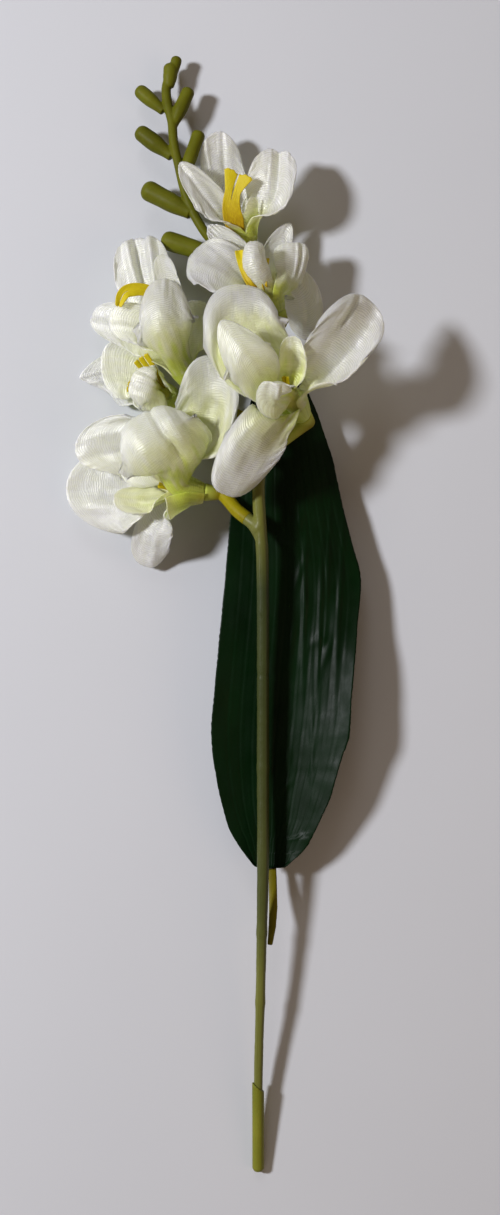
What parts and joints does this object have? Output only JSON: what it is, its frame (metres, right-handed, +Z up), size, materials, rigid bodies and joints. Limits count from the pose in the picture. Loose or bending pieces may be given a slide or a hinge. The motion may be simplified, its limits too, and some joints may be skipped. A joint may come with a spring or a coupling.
{
  "type": "freesia flower spray",
  "caption": "Artificial freesia spray lying on its side: a long slender stem with open white cloth flowers, a bent tip of green buds and a broad ribbed leaf.",
  "frame": {"origin": "under the middle of the spray's bounding box, on the surface it lies on", "axes": "+Y along the stem from the cut end to the buds, +Z up from the surface, +X to the right when the spray is seen from above with its buds at the top"},
  "size_m": [0.1024, 0.3692, 0.0475],
  "materials": {
    "stem_green": "satin moulded plastic, olive green",
    "sleeve_green": "satin plastic tube, yellow-green",
    "stalk_olive": "satin moulded plastic, yellow-olive",
    "calyx_green": "satin moulded plastic, yellow-green",
    "bud_green": "satin moulded plastic, green",
    "leaf_green": "coated cloth, very dark green with a soft sheen",
    "petal_white": "ivory satin cloth",
    "stamen_yellow": "matte plastic, yellow",
    "wire_steel": "plain drawn wire"
  },
  "bodies": {
    "root": {"stem": "stem_green", "stem_wire": "wire_steel", "base_sleeve": "sleeve_green", "leaf": "leaf_green", "leaf_stalk": "stalk_olive", "bud_spray": "bud_green", "flower_1_calyx": "calyx_green", "flower_1_outer_petals": "petal_white", "flower_1_inner_petals": "petal_white", "flower_1_stamens": "stamen_yellow", "flower_2_calyx": "calyx_green", "flower_2_outer_petals": "petal_white", "flower_2_inner_petals": "petal_white", "flower_2_stamens": "stamen_yellow", "flower_3_calyx": "calyx_green", "flower_3_outer_petals": "petal_white", "flower_3_inner_petals": "petal_white", "flower_3_stamens": "stamen_yellow", "flower_4_calyx": "calyx_green", "flower_4_outer_petals": "petal_white", "flower_4_inner_petals": "petal_white", "flower_4_stamens": "stamen_yellow", "flower_5_calyx": "calyx_green", "flower_5_outer_petals": "petal_white", "flower_5_inner_petals": "petal_white", "flower_5_stamens": "stamen_yellow", "flower_6_calyx": "calyx_green", "flower_6_outer_petals": "petal_white", "flower_6_inner_petals": "petal_white", "flower_6_stamens": "stamen_yellow"}
  },
  "joints": []
}
